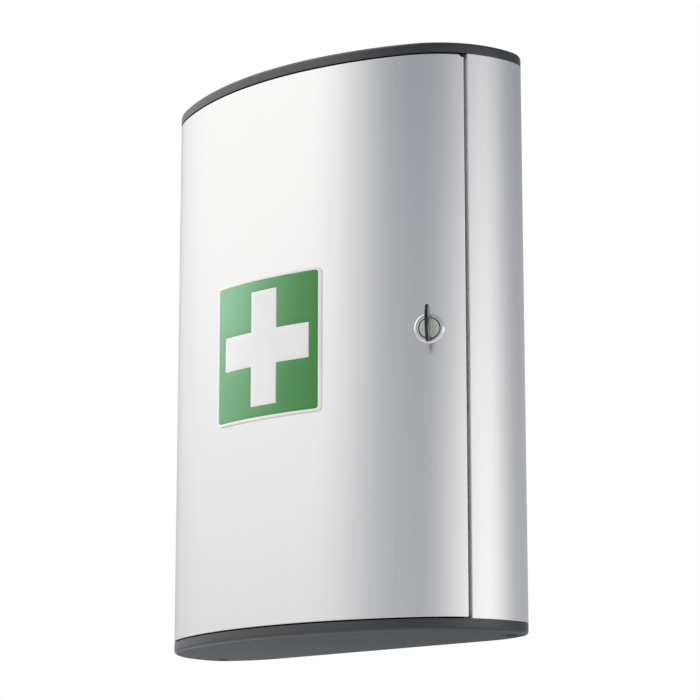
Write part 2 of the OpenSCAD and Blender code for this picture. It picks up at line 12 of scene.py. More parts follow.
import bmesh
import bpy
import numpy as np
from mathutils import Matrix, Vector

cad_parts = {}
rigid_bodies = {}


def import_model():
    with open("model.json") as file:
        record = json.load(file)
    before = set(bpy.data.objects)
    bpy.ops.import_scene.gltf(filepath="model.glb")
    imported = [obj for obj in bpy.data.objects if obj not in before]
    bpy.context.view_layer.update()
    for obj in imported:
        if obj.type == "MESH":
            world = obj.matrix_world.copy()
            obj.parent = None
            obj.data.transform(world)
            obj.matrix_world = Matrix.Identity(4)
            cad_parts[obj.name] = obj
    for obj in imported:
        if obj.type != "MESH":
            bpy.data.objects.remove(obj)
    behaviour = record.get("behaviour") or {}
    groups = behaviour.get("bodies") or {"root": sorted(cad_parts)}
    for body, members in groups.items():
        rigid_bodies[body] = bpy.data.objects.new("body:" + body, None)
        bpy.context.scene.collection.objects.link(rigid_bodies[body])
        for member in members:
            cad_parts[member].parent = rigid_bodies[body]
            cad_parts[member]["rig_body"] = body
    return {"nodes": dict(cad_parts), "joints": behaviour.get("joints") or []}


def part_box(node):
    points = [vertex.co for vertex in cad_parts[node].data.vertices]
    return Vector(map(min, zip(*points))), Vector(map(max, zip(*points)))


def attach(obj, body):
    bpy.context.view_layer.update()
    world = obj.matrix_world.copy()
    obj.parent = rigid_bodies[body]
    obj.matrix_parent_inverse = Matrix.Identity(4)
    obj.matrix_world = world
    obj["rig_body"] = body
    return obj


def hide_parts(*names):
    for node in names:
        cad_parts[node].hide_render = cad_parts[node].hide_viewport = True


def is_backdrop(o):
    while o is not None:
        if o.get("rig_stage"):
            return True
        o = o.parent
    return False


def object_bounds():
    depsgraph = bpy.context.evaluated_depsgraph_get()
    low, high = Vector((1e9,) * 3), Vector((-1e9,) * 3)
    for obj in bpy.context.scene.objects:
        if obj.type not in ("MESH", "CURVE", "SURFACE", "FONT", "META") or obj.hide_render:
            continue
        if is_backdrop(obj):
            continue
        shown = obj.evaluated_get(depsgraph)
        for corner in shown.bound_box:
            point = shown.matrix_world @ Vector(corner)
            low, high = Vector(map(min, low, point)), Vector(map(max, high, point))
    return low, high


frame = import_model()
cad_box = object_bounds()
mm = 0.001
joints = {joint["name"]: joint for joint in frame["joints"]}
print("box of the packed cabinet in mm:", [round(v / mm, 1) for v in (*cad_box[0], *cad_box[1])])

# %% [markdown]
# ## The plan outline
# Seven arcs make the outline: the front, and at each end a shoulder, a tighter flank and a wider arc to the
# back. Each arc runs into the next without a corner, because their centres and the meeting point share a
# line. Whole-number triangles (39, 80, 89 and 33, 56, 65) keep that exact. All directions in plan are
# headings in degrees from straight ahead, positive towards the right-hand end, where the lock is.

# %% Centres and radii of the arcs
cap_low, cap_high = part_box("bottom_cap")
half_width, depth, half_height = cap_high.x, -cap_low.y, -cap_low.z
front_triangle = 2.03 * mm * np.array([39, 80, 89])
rear_triangle = 0.88 * mm * np.array([33, 56, 65])
shoulder_radius = half_width - front_triangle[0]
widest = depth - (front_triangle[2] - front_triangle[1]) - shoulder_radius
flank_radius = widest - (rear_triangle[2] - rear_triangle[1])
front_radius = shoulder_radius + front_triangle[2]
rear_radius = flank_radius + rear_triangle[2]
shoulder = np.array([front_triangle[0], -widest])
front = np.array([0, front_triangle[1] - widest])
flank = np.array([half_width - flank_radius, -widest])
rear = flank - rear_triangle[:2]
front_end = math.degrees(math.atan2(39, 80))
flank_end = 180 - math.degrees(math.atan2(33, 56))
mirrored = np.array([-1, 1])
full_circle = 2 * math.pi
print("radii in mm:", [round(r / mm, 2) for r in (front_radius, shoulder_radius, flank_radius, rear_radius)])


# %% Headings, arcs and paths
def heading(degrees):
    """Unit vectors (sin, -cos) in plan for angles from straight ahead."""
    angle = np.radians(degrees)
    return np.stack([np.sin(angle), -np.cos(angle)], -1)


def arc(centre, radius, start, end, step=2.0):
    """A path round a centre: rows of x, y and heading. A point is centre + radius * heading;
    a negative radius bends the path the other way."""
    turns = np.linspace(start, end, max(2, math.ceil(abs(end - start) / step) + 1))
    return np.column_stack([centre + radius * heading(turns), turns])


def chain(*paths, least_step=1e-7):
    """Paths one after another. A point that repeats the one before it is dropped."""
    path = np.concatenate(paths)
    moved = np.linalg.norm(np.diff(path[:, :2], axis=0), axis=1) > least_step
    return path[np.concatenate([[True], moved])]


def outline(inset, start, end, step=2.0):
    """The plan outline, drawn in by an inset, from one heading on the right to one on the left."""
    stretches = [(rear, rear_radius, 180, flank_end), (flank, flank_radius, flank_end, 90),
                 (shoulder, shoulder_radius, 90, front_end), (front, front_radius, front_end, -front_end),
                 (shoulder * mirrored, shoulder_radius, -front_end, -90),
                 (flank * mirrored, flank_radius, -90, -flank_end),
                 (rear * mirrored, rear_radius, -flank_end, -180)]
    parts = []
    for centre, radius, high, low in stretches:
        first, last = min(start, high), max(end, low)
        if first > last:
            spread = step * min(1, shoulder_radius / radius)
            parts.append(arc(centre, radius - inset, first, last, spread))
    return chain(*parts)


print("points on the whole outline:", len(outline(0, 180, -180)))


# %% [markdown]
# ## From arrays to pieces
# Every new surface is a grid of points worked out as whole arrays. `grid_faces` numbers its squares, and
# `make_piece` puts one or more closed grids into a mesh, turns their faces outwards and marks sharp edges.

# %% Grids, meshes and pieces
def grid_faces(numbers):
    """Squares between neighbouring rows and columns of a grid of point numbers."""
    corners = [numbers[:-1, :-1], numbers[:-1, 1:], numbers[1:, 1:], numbers[1:, :-1]]
    return np.stack(corners, -1).reshape(-1, 4)


def ring_grid(points, closed_path=False):
    """Rows of closed loops, as points and faces. Open ends get a flat cap, a closed path meets itself."""
    rows, columns = points.shape[:2]
    numbers = np.arange(rows * columns).reshape(rows, columns)
    around = np.concatenate([numbers, numbers[:, :1]], 1)
    if closed_path:
        around = np.concatenate([around, around[:1]])
        caps = []
    else:
        caps = [numbers[0].tolist(), numbers[-1][::-1].tolist()]
    return points.reshape(-1, 3), grid_faces(around).tolist() + caps


def round_axis(steps):
    """Angles of one whole turn, as a column."""
    return np.linspace(0, full_circle, steps, endpoint=False)[:, None]


def cut_flat(radius, flats, share):
    """The radius, but no more than flats / |share|, which cuts a straight side off a round."""
    return np.minimum(radius, flats / np.maximum(abs(share), 1e-6))


def spun(radius, angle, height):
    """A closed surface round the Z axis: x = radius * cos, y = radius * sin, z = height."""
    height = np.broadcast_to(height, radius.shape)
    points = np.stack([radius * np.cos(angle), radius * np.sin(angle), height], -1)
    return ring_grid(points, closed_path=True)


def turned(profile, steps=96, flats=None):
    """A closed profile of (radius, height) turned about the Z axis, as points and faces. flats cuts two
    sides off: there the radius is flats / |cos| of the angle from the X axis."""
    angle = round_axis(steps)
    radius, height = np.asarray(profile).T[:, None, :]
    radius = np.broadcast_to(radius, (steps, radius.shape[1]))
    return spun(cut_flat(radius, flats, np.cos(angle)) if flats else radius, angle, height)


def slab(x_lines, z_lines, keep, height, bottom):
    """A plate over a grid of cells: height at each grid point above, a level below, and walls wherever a
    kept cell has no kept neighbour. keep says which cells are there. Points are x, height and z."""
    x, z = np.meshgrid(x_lines, z_lines, indexing="ij")
    count = x.size
    top = np.arange(count).reshape(x.shape)
    square = np.stack([top[:-1, :-1], top[1:, :-1], top[1:, 1:], top[:-1, 1:]], -1)[keep]
    padded = np.pad(keep, 1)
    across = padded[1:, 1:-1] != padded[:-1, 1:-1]
    along = padded[1:-1, 1:] != padded[1:-1, :-1]
    edges = np.concatenate([np.stack([top[:, :-1], top[:, 1:]], -1)[across],
                            np.stack([top[:-1], top[1:]], -1)[along]])
    walls = np.column_stack([edges, edges[:, ::-1] + count])
    faces = np.concatenate([square, square[:, ::-1] + count, walls])
    points = np.stack([np.tile(x.ravel(), 2), np.concatenate([height.ravel(), np.full(count, bottom)]),
                       np.tile(z.ravel(), 2)], -1)
    used, faces = np.unique(faces, return_inverse=True)
    return points[used], faces.reshape(-1, 4).tolist()


def placed(parts, rule):
    """The same surfaces with their points moved by a rule."""
    return [(rule(points), faces) for points, faces in parts]


def make_piece(name, parts, body, finish, replaces, sharp=38, others=(), merge=1e-7):
    """One object from closed surfaces, each given as points and faces. It rides on a body, and edges over
    sharp degrees stay crisp. others are more finishes, each with the rule for the places that have it."""
    points, faces, first = [], [], 0
    for part_points, part_faces in parts:
        points.append(part_points)
        faces += [[first + number for number in face] for face in part_faces]
        first += len(part_points)
    mesh = bpy.data.meshes.new(name)
    mesh.from_pydata(np.concatenate(points).tolist(), [], faces)
    shape = bmesh.new()
    shape.from_mesh(mesh)
    bmesh.ops.remove_doubles(shape, verts=shape.verts, dist=merge)
    bmesh.ops.recalc_face_normals(shape, faces=shape.faces)
    shape.to_mesh(mesh)
    shape.free()
    mesh.shade_smooth()
    mesh.set_sharp_from_angle(angle=math.radians(sharp))
    made = bpy.data.objects.new(name, mesh)
    bpy.context.scene.collection.objects.link(made)
    mesh.materials.append(finish)
    places, index = np.empty(3 * len(mesh.polygons)), np.zeros(len(mesh.polygons), np.int32)
    mesh.polygons.foreach_get("center", places)
    for number, (other, rule) in enumerate(others, 1):
        mesh.materials.append(other)
        index[rule(places.reshape(-1, 3))] = number
    mesh.polygons.foreach_set("material_index", index)
    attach(made, body)
    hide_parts(*replaces)
    print(f"{name}: {len(mesh.polygons)} faces")
    return made


def refined(node, finish, width, segments=2, others=(), merge=1e-6, flat_angle=0.6, edge_angle=32):
    """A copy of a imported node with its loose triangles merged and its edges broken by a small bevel.
    Faces that meet at less than flat_angle become one, and edges over edge_angle get the bevel."""
    source = frame["nodes"][node]
    shape = bmesh.new()
    shape.from_mesh(source.data)
    bmesh.ops.remove_doubles(shape, verts=shape.verts, dist=merge)
    limit = math.radians(flat_angle)
    bmesh.ops.dissolve_limit(shape, angle_limit=limit, verts=shape.verts, edges=shape.edges)
    points = np.array([vertex.co for vertex in shape.verts])
    shape.verts.index_update()
    faces = [[vertex.index for vertex in face.verts] for face in shape.faces]
    shape.free()
    parts = [(points, faces)]
    made = make_piece(node + "_finished", parts, source["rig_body"], finish, [node], others=others)
    bevel = made.modifiers.new("broken_edges", "BEVEL")
    bevel.width, bevel.segments = width, segments
    bevel.limit_method, bevel.angle_limit = "ANGLE", math.radians(edge_angle)
    bevel.harden_normals = True


# %% [markdown]
# ## Shader maths as arithmetic
# A finish varies over a surface by small sums of noise. `Shade` wraps one socket, so that such a sum reads
# like arithmetic, and `add` makes any other node. Every pattern reads Object coordinates in metres, so a
# scale of 1000 makes features about a millimetre across, the same on every piece.

# %% One socket, with operators
class Shade:
    """A socket of a node tree, or the tree alone before its first node."""

    def __init__(self, tree, socket=None):
        self.tree, self.socket = tree, socket

    def add(self, kind, settings=None, sockets=None, output=0):
        """Makes a node of a type, sets its settings and then its sockets, and gives one of its outputs."""
        node = self.tree.nodes.new(kind)
        for name, value in (settings or {}).items():
            setattr(node, name, value)
        for name, value in (sockets or {}).items():
            if isinstance(value, Shade):
                self.tree.links.new(value.socket, node.inputs[name])
            else:
                node.inputs[name].default_value = value
        return Shade(self.tree, node.outputs[output])

    def sum(self, operation, first, second):
        return self.add("ShaderNodeMath", {"operation": operation}, {0: first, 1: second})

    def __add__(self, other):
        return self.sum("ADD", self, other)

    def __sub__(self, other):
        return self.sum("SUBTRACT", self, other)

    def __mul__(self, other):
        return self.sum("MULTIPLY", self, other)

    def __rsub__(self, other):
        return self.sum("SUBTRACT", other, self)

    __radd__, __rmul__ = __add__, __mul__

    def step(self, low, high):
        """0 below low, 1 above high and a smooth rise between them."""
        return self.add("ShaderNodeMapRange", {"interpolation_type": "SMOOTHSTEP"},
                        {"Value": self, "From Min": low, "From Max": high})

    def mix(self, first, second):
        """A colour, first where this value is 0 and second where it is 1."""
        return self.add("ShaderNodeMix", {"data_type": "RGBA"}, {0: self, 6: first, 7: second}, 2)


def grey(value):
    """A plain grey with an alpha of 1."""
    return (value, value, value, 1.0)


def tint(*shown):
    """A colour written as the 0 to 255 values that a screen shows, turned into light: a share of 255 becomes
    ((share + 0.055) / 1.055) ^ 2.4, or share / 12.92 where it is nearly black."""
    return (*[((v / 255 + 0.055) / 1.055) ** 2.4 if v > 10 else v / 255 / 12.92 for v in shown], 1)


def scaled(colour, factor, lift=0.0):
    """A colour times a factor, plus a lift, at most 1."""
    return (*[min(1, c * factor + lift) for c in colour[:3]], 1)


def noise(shade, scale, stretch=(1, 1, 1), detail=2.0):
    """Noise from 0 to 1 on Object coordinates. A small stretch along an axis draws it out along that axis."""
    place = shade.add("ShaderNodeTexCoord", output="Object")
    scales = [scale * share for share in stretch]
    sized = shade.add("ShaderNodeMapping", {}, {"Vector": place, "Scale": scales})
    return shade.add("ShaderNodeTexNoise", {}, {"Vector": sized, "Scale": 1.0, "Detail": detail})


def components(vector):
    """The three numbers of a vector."""
    split = vector.add("ShaderNodeSeparateXYZ", {}, {"Vector": vector})
    return [Shade(split.tree, output) for output in split.socket.node.outputs]


def object_place(shade):
    """The three Object coordinates, in metres."""
    return components(shade.add("ShaderNodeTexCoord", output="Object"))


def finish(name, metal, gloss, colour, roughness, height=None, relief=0.0):
    """A material whose colour, roughness and height come from functions of a Shade. relief is how deep the
    height goes, in metres."""
    material = bpy.data.materials.new(name)
    material.use_nodes = True
    tree = material.node_tree
    shader = tree.nodes["Principled BSDF"]
    shade = Shade(tree)
    shader.inputs["Metallic"].default_value = metal
    shader.inputs["Specular IOR Level"].default_value = gloss
    tree.links.new(colour(shade).socket, shader.inputs["Base Color"])
    tree.links.new(roughness(shade).socket, shader.inputs["Roughness"])
    if height:
        bump = shade.add("ShaderNodeBump", {}, {"Height": height(shade), "Distance": relief})
        tree.links.new(bump.socket, shader.inputs["Normal"])
    return material


print("a middle grey on the screen is this much light:", round(tint(128, 128, 128)[0], 3))


# %% [markdown]
# ## Camera, lamps and floor
# The photograph was taken from the lower right with a long lens, so the camera looks up at the cabinet and
# sees the underside of its lower cap. A round pale floor lies far below both. Two soft boxes light the
# cabinet: one high on the left and one level with it on the right. A camera sees a white world, and plain
# light comes from all sides, but metal needs something to mirror. So rays off glossy surfaces meet a studio
# of soft panels that a photographer would put up, each with its own headings, heights and strength: the door
# mirrors them as a bright left half and a soft grey band.

# %% Camera
lens_pixels, frame_pixels, sensor_width = 2558.6, 700, 36
camera_turn, camera_tilt, camera_distance = math.radians(-43.54), math.radians(11.84), 1.7849
aim = Vector((25 * mm, -59 * mm, 3.6 * mm))
forward = math.cos(camera_tilt)
gaze = Vector((math.sin(camera_turn) * forward, math.cos(camera_turn) * forward, math.sin(camera_tilt)))
camera = bpy.data.objects.new("camera", bpy.data.cameras.new("camera"))
bpy.context.scene.collection.objects.link(camera)
camera.data.sensor_width = sensor_width
camera.data.lens = lens_pixels * sensor_width / frame_pixels
camera.location = aim - camera_distance * gaze
camera.rotation_euler = gaze.to_track_quat("-Z", "Y").to_euler()
bpy.context.scene.camera = camera
bpy.context.scene.view_settings.view_transform = "Standard"
print("camera stands at", [round(v, 3) for v in camera.location])


# %% Lamps
lamp_distance = 2.4


def soft_box(name, turn, rise, size, watts):
    """A square lamp in a direction from the cabinet, facing it. Nothing mirrors it."""
    lamp = bpy.data.lights.new(name, "AREA")
    lamp.shape, lamp.size, lamp.energy = "SQUARE", size, watts
    holder = bpy.data.objects.new(name, lamp)
    bpy.context.scene.collection.objects.link(holder)
    flat = heading(turn) * math.cos(math.radians(rise))
    away = Vector((*flat, math.sin(math.radians(rise))))
    holder.location = away * lamp_distance
    holder.rotation_euler = away.to_track_quat("Z", "Y").to_euler()
    holder.visible_glossy = False
    print(f"{name}: {watts} W at heading {turn}, {rise} degrees up")


soft_box("left_soft_box", turn=-70, rise=35, size=1.7, watts=46)
soft_box("right_soft_box", turn=98, rise=-4, size=1.2, watts=14)

# %% Headings and heights in the world
world = bpy.data.worlds.new("studio")
bpy.context.scene.world = world
world.use_nodes = True
world.node_tree.nodes.clear()
studio = Shade(world.node_tree)
east, north, up = components(studio.add("ShaderNodeTexCoord", output="Generated"))
turn = studio.add("ShaderNodeMath", {"operation": "ARCTAN2"}, {0: east, 1: 0 - north}) * (180 / math.pi)


def panel(start, end, soft_start, soft_end):
    """1 between two headings and 0 outside them, with a soft edge at each side."""
    middle, half = (start + end) / 2, (end - start) / 2
    apart = studio.add("ShaderNodeMath", {"operation": "WRAP"}, {0: turn - middle, 1: 180.0, 2: -180.0})
    return (apart + half).step(-soft_start, soft_start) * (half - apart).step(-soft_end, soft_end)


def strength(below, above, low, high):
    """A strength that goes smoothly from one value to another between two heights, as sines of the angle."""
    return below + (above - below) * up.step(low, high)


print("nodes for headings and heights:", len(world.node_tree.nodes))

# %% What glossy surfaces mirror
shaded, bright = (0.41, 0.424, 0.462, 1), (1.155, 1.15, 1.14, 1)
room = strength(0.12, -0.12, 0.19, 0.36)
left_panel = panel(-110, -8, 35, 15) * strength(0.27, 1.47, -0.09, 0.5)
right_panel = panel(72, 114, 34, 22) * strength(1.15, 0.23, 0.12, 0.45)
low_panel = panel(38, 80, 16, 18) * strength(0.42, 0, 0.05, 0.33)
panels = room + left_panel + right_panel + low_panel
mirrored_studio = studio.add("ShaderNodeMix", {"data_type": "RGBA", "clamp_factor": False},
                             {0: panels, 6: shaded, 7: bright}, 2)
print("parts of the mirrored studio: room, left panel, right panel, low panel")

# %% World
plain_light = 0.66
rays = studio.add("ShaderNodeLightPath").socket.node.outputs
kinds = ("Is Camera Ray", "Is Glossy Ray", "Is Transmission Ray")
to_camera, glossy, through = [Shade(studio.tree, rays[kind]) for kind in kinds]
lighting = studio.add("ShaderNodeBackground", {}, {"Color": grey(1.0), "Strength": plain_light})
reflected = studio.add("ShaderNodeBackground", {}, {"Color": mirrored_studio})
white = studio.add("ShaderNodeBackground", {}, {"Color": grey(1.0), "Strength": 1.0})
shown = studio.add("ShaderNodeMixShader", {}, {0: glossy, 1: lighting, 2: reflected})
seen = studio.sum("MAXIMUM", to_camera, through)
shown = studio.add("ShaderNodeMixShader", {}, {0: seen, 1: shown, 2: white})
world_output = world.node_tree.nodes.new("ShaderNodeOutputWorld")
world.node_tree.links.new(shown.socket, world_output.inputs["Surface"])
print("world nodes:", len(world.node_tree.nodes))

# %% Floor
floor_level, floor_radius, floor_sides = -0.9, 12, 96
floor_dim, floor_pale, paper_glow = grey(0.72), grey(0.76), 0.8
floor_mesh = bpy.data.meshes.new("floor")
rim = heading(np.linspace(0, 360, floor_sides, endpoint=False)) * floor_radius
floor_mesh.from_pydata(np.insert(rim, 2, floor_level, axis=1).tolist(), [], [list(range(floor_sides))])
floor = bpy.data.objects.new("floor", floor_mesh)
bpy.context.scene.collection.objects.link(floor)
floor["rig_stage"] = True
floor_finish = finish("pale_floor", 0.0, 0.2, lambda s: noise(s, 3).mix(floor_dim, floor_pale),
                      lambda s: 0.75 + 0.1 * noise(s, 5))
paper = Shade(floor_finish.node_tree)
lit = Shade(paper.tree, paper.tree.nodes["Principled BSDF"].outputs[0])
glow = paper.add("ShaderNodeEmission", {}, {"Color": grey(1.0), "Strength": 1.0})
seen_directly = paper_glow * paper.add("ShaderNodeLightPath", output="Is Camera Ray")
pale = paper.add("ShaderNodeMixShader", {}, {0: seen_directly, 1: lit, 2: glow})
paper.tree.links.new(pale.socket, paper.tree.nodes["Material Output"].inputs["Surface"])
floor_mesh.materials.append(floor_finish)
print("floor at", floor_level, "m, radius", floor_radius, "m")


# %% [markdown]
# ## Finishes
# The door and the ends are aluminium, brushed upwards and satin anodised: fine streaks run up the metal and
# blur what it mirrors. Their edges in the seam are duller. The lock is a chromed die casting round a turned
# nickel plug, and the narrow gap between them is painted near black as shade. The parts behind the door are
# zinc-plated steel.
#
# The caps are moulded anthracite plastic, smooth round the edge and spark grained on the flat, and the flat
# is painted paler towards the hinge as painted light. The ribs of the door are dark plastic, and they and the
# caps where they face them are painted near black as shade in the gap between cap and door. The sheets inside
# are powder coated and show a soft orange peel. Each finish takes its grain in features per metre and its
# relief in metres.

# %% Metal finishes
streak_layers = [(0.5, 2600, 0.006), (0.3, 700, 0.01), (0.2, 130, 0.03)]


def streaks(s):
    """Three widths of noise, each drawn out upwards: the sum of a share times a noise."""
    fine, middling, broad = [share * noise(s, scale, (1, 1, drawn)) for share, scale, drawn in streak_layers]
    return fine + middling + broad


def brushed(name, colour, rough, streak, relief):
    """Metal brushed along Z: the streaks move its colour, its roughness and its relief."""
    low, high = scaled(colour, 1 - streak), scaled(colour, 1 + streak)
    return finish(name, 1.0, 0.5, lambda s: streaks(s).step(0.2, 0.8).mix(low, high),
                  lambda s: rough - 0.05 + 0.1 * streaks(s) + 0.05 * noise(s, 9, detail=4.0),
                  streaks, relief)


def cast(name, colour, rough, speckle, size, relief, metal=1.0):
    """Plated or plain metal with an even, slightly cloudy surface."""
    dark = scaled(colour, 1 - speckle)
    return finish(name, metal, 0.5, lambda s: noise(s, size, detail=5.0).step(0.3, 0.7).mix(dark, colour),
                  lambda s: rough + 0.12 * noise(s, size * 0.4, detail=4.0) - 0.05,
                  lambda s: noise(s, size * 3), relief)


door_metal = brushed("satin_anodised_aluminium", (0.797, 0.796, 0.797, 1), 0.22, 0.018, 0.01 * mm)
end_metal = brushed("satin_anodised_profile", (0.8, 0.8, 0.8, 1), 0.22, 0.016, 0.01 * mm)
fold_metal = brushed("dull_anodised_fold", (0.93, 0.94, 0.96, 1), 0.8, 0.02, 0.02 * mm)
steel = cast("zinc_plated_steel", (0.62, 0.63, 0.64, 1), 0.32, 0.15, 500, 0.02 * mm)
chrome = cast("satin_chrome", (0.93, 0.94, 0.94, 1), 0.15, 0.05, 300, 0.01 * mm)
nickel = cast("turned_nickel", (0.88, 0.9, 0.82, 1), 0.25, 0.12, 400, 0.01 * mm)
brass = cast("stamped_brass", (0.75, 0.58, 0.28, 1), 0.3, 0.2, 500, 0.02 * mm)
# painted shade: a near black for the narrow gap round the lock's plug
gap_painted_shade = cast("painted_shade_gap_black", (0.016, 0.016, 0.018, 1), 0.6, 0.3, 600, 0.02 * mm, metal=0.0)
rivet_metal = cast("pressed_aluminium", (0.78, 0.78, 0.78, 1), 0.35, 0.1, 500, 0.02 * mm)
print("brushed metals:", door_metal.name, end_metal.name, fold_metal.name)

# %% Plastic, paint and rubber
cloud_gain, cloud_lift = 1.035, 0.001


def moulded(name, colour, rough, grain, relief, gloss=0.5):
    """Moulded plastic: a fine grain in the relief and slow clouds in the colour."""
    pale = scaled(colour, cloud_gain, cloud_lift)
    return finish(name, 0.0, gloss, lambda s: noise(s, 40, detail=5.0).step(0.3, 0.7).mix(colour, pale),
                  lambda s: rough + 0.1 * noise(s, 60, detail=4.0) - 0.05 + 0.08 * noise(s, grain),
                  lambda s: noise(s, grain, detail=3.0) + 0.5 * noise(s, grain * 2.3), relief)


anthracite = moulded("anthracite_plastic", tint(19, 23, 28), 0.26, 1800, 0.03 * mm, gloss=1.0)
# painted shade: a near black that darkens the door ribs and the caps' faces over them, for the gap under the
# caps
painted_shade_plastic = moulded("near_black_painted_shade", tint(15, 16, 18), 0.6, 1500, 0.04 * mm, gloss=0.2)
white_moulding = moulded("white_plastic", tint(226, 226, 220), 0.4, 1500, 0.03 * mm)
rubber = moulded("black_rubber", tint(30, 30, 31), 0.75, 2200, 0.08 * mm, gloss=0.3)
grey_paint = moulded("grey_powder_coat", tint(200, 204, 206), 0.42, 900, 0.06 * mm)
white_paint = moulded("white_powder_coat", tint(238, 239, 238), 0.4, 900, 0.06 * mm)
sign_white = moulded("gloss_white", tint(246, 246, 245), 0.16, 220, 0.02 * mm)
print("plastics:", anthracite.name, painted_shade_plastic.name, white_moulding.name)

# %% Flat of a cap
# painted light: the flat of a cap is painted paler towards the hinge, as light falls on it
grain_painted_shade, grain_painted_light, grain_size = tint(54, 62, 68), tint(80, 88, 94), 1400
paler_from, paler_to = -160 * mm, 120 * mm


def grained_with_painted_light(s):
    """The colour of a cap's flat: painted light, dark at the lock's end and a little paler towards the hinge,
    with clouds.
    """
    light_painted_share = 1 - object_place(s)[0].step(paler_from, paler_to)
    return (0.9 * light_painted_share + 0.1 * noise(s, 90, detail=4.0)).mix(grain_painted_shade, grain_painted_light)


grained = finish("grained_anthracite", 0.0, 0.2, grained_with_painted_light, lambda s: 0.58 + 0.1 * noise(s, grain_size),
                 lambda s: noise(s, grain_size, detail=3.0) + 0.5 * noise(s, 3200), 0.08 * mm)
print("flat of a cap:", grained.name)

# %% Green of the sign
# painted highlight: the green is painted pale at the upper left, where gloss on the sign mirrors light
deep_green, green_painted_highlight, low_share = tint(43, 131, 40), tint(140, 200, 156), 0.52


def green_with_painted_highlight(s):
    """The green is one print, painted pale at the upper left and deep at the right as a highlight, as gloss
    makes it look in the photograph. The painted light is (1 - a rise over the width) * (low share + the rest
    * a rise over the height)."""
    across, _, high = object_place(s)
    upwards = low_share + (1 - low_share) * high.step(-50 * mm, 50 * mm)
    light_painted_share = (1 - across.step(-55 * mm, 62 * mm)) * upwards
    return (light_painted_share + 0.04 * noise(s, 60, detail=4.0)).mix(deep_green, green_painted_highlight)


sign_green = finish("gloss_green", 0.0, 0.5, green_with_painted_highlight, lambda s: 0.13 + 0.06 * noise(s, 60, detail=4.0),
                    lambda s: noise(s, 220, detail=3.0), 0.02 * mm)
print("sign:", sign_white.name, "and", sign_green.name)

# %% [markdown]
# ## Rolled and extruded sheet
# The door is one sheet: its right edge turns in at the seam, its left edge is rolled into the hinge knuckle.
# So it is a thin upright section carried along the path of the bent sheet. A path that bends through real
# radii, and edges with a small round, catch the thin lines of light that make sheet metal look like metal.

# %% Section carried along a bent path
edge_points = 5


def sheet(path, thickness, top, levels=(0.0,), bottom=None, crisp=0.0, round_edge=0.35 * mm):
    """Loops round an upright sheet. A loop goes up the outer face, over the round top edge, down the inner
    face and round the bottom edge. In plan a point is path + normal * across, where crisp moves the outer
    face out. Its height is middle + share * half the straight height + extra, which goes round the edge.
    levels are heights that get a row of points."""
    bottom = -top if bottom is None else bottom
    straight = np.max(top) - 2 * round_edge
    rows = np.concatenate([[-1.0], np.array(levels) / straight, [1.0]])
    quarter = np.radians(np.linspace(0, 90, edge_points))
    lift, bite = round_edge * (1 + np.sin(quarter)), round_edge * (1 - np.cos(quarter))
    over = np.concatenate([lift, lift[::-1]])
    sides = np.repeat([1.0, -1.0], edge_points)
    bites = np.concatenate([bite, bite[::-1]])
    share = np.concatenate([rows, np.ones(len(over)), rows[::-1], -np.ones(len(over))])
    side = np.concatenate([np.ones(len(rows)), sides, -np.ones(len(rows)), -sides])
    inset = np.concatenate([np.zeros(len(rows)), bites, np.zeros(len(rows)), bites])
    extra = np.concatenate([np.zeros(len(rows)), over, np.zeros(len(rows)), -over])
    along_path = [np.broadcast_to(value, len(path))[:, None] for value in (thickness, top, bottom, crisp)]
    thickness, top, bottom, crisp = along_path
    across = side * (thickness / 2 - inset) + crisp * (side > 0)
    normal = heading(path[:, 2])
    plan = path[:, None, :2] + normal[:, None, :] * across[..., None]
    up = (top + bottom) / 2 + share * ((top - bottom) / 2 - 2 * round_edge) + extra
    return np.concatenate([plan, up[..., None]], -1)


print("points over a sheet's round edge:", 2 * edge_points)

# %% Path of the door sheet
door_sheet, seam_gap, hinge_gap = 1.2 * mm, 2 * mm, 6 * mm
seam_turn, fine_step = 57.8, 1.5
half_gap_turn = math.degrees(seam_gap / 2 / shoulder_radius)
door_turn, strip_turn = seam_turn - half_gap_turn, seam_turn + half_gap_turn
hinge_turn = strip_turn - math.degrees(hinge_gap / shoulder_radius)
half_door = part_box("door_panel")[1].z
hinge = np.array(joints["door_hinge"]["pos_m"][:2])
fold_set_back, fold_radius, fold_depth = 0.1 * mm, 1.0 * mm, 7 * mm
fold_points, fold_step, crispness = 4, 5, 8
knuckle_radius = shoulder_radius - float(np.hypot(*(hinge * mirrored - shoulder)))
knuckle_end, knuckle_step = 210, 8


def fold(edge_turn, thickness, side):
    """The turned-in edge beside a seam, as a path that runs outwards and bends into the outer arc.
    side is 1 where the arc then runs to the left of the seam's ray and -1 where it runs to the right. Extra
    thickness makes the outer corner crisp: there the face lies at radius / (cos^p + sin^p)^(1/p), where p is
    the crispness."""
    outward, along = heading(edge_turn), -side * heading(edge_turn + 90)
    back = fold_set_back + thickness / 2
    reach = shoulder_radius - thickness / 2 - fold_radius
    aside = back + fold_radius
    centre = shoulder + outward * math.sqrt(reach ** 2 - aside ** 2) + along * aside
    swing = math.degrees(math.asin(aside / reach))
    bend = arc(centre, fold_radius, edge_turn + side * 90, edge_turn - side * swing, fold_step)
    start = shoulder + outward * (shoulder_radius - fold_depth) + along * back
    inner = np.linspace(start, bend[0, :2], fold_points)
    inner = np.column_stack([inner, np.full(fold_points, edge_turn + side * 90)])
    path, quarter = chain(inner, bend), np.linspace(0, math.pi / 2, len(bend))[1:]
    square = (np.cos(quarter) ** crispness + np.sin(quarter) ** crispness) ** (-1 / crispness) - 1
    crisp = np.zeros(len(path))
    crisp[len(path) - len(square):] = (fold_radius + thickness / 2) * square
    return path, crisp, edge_turn - side * swing


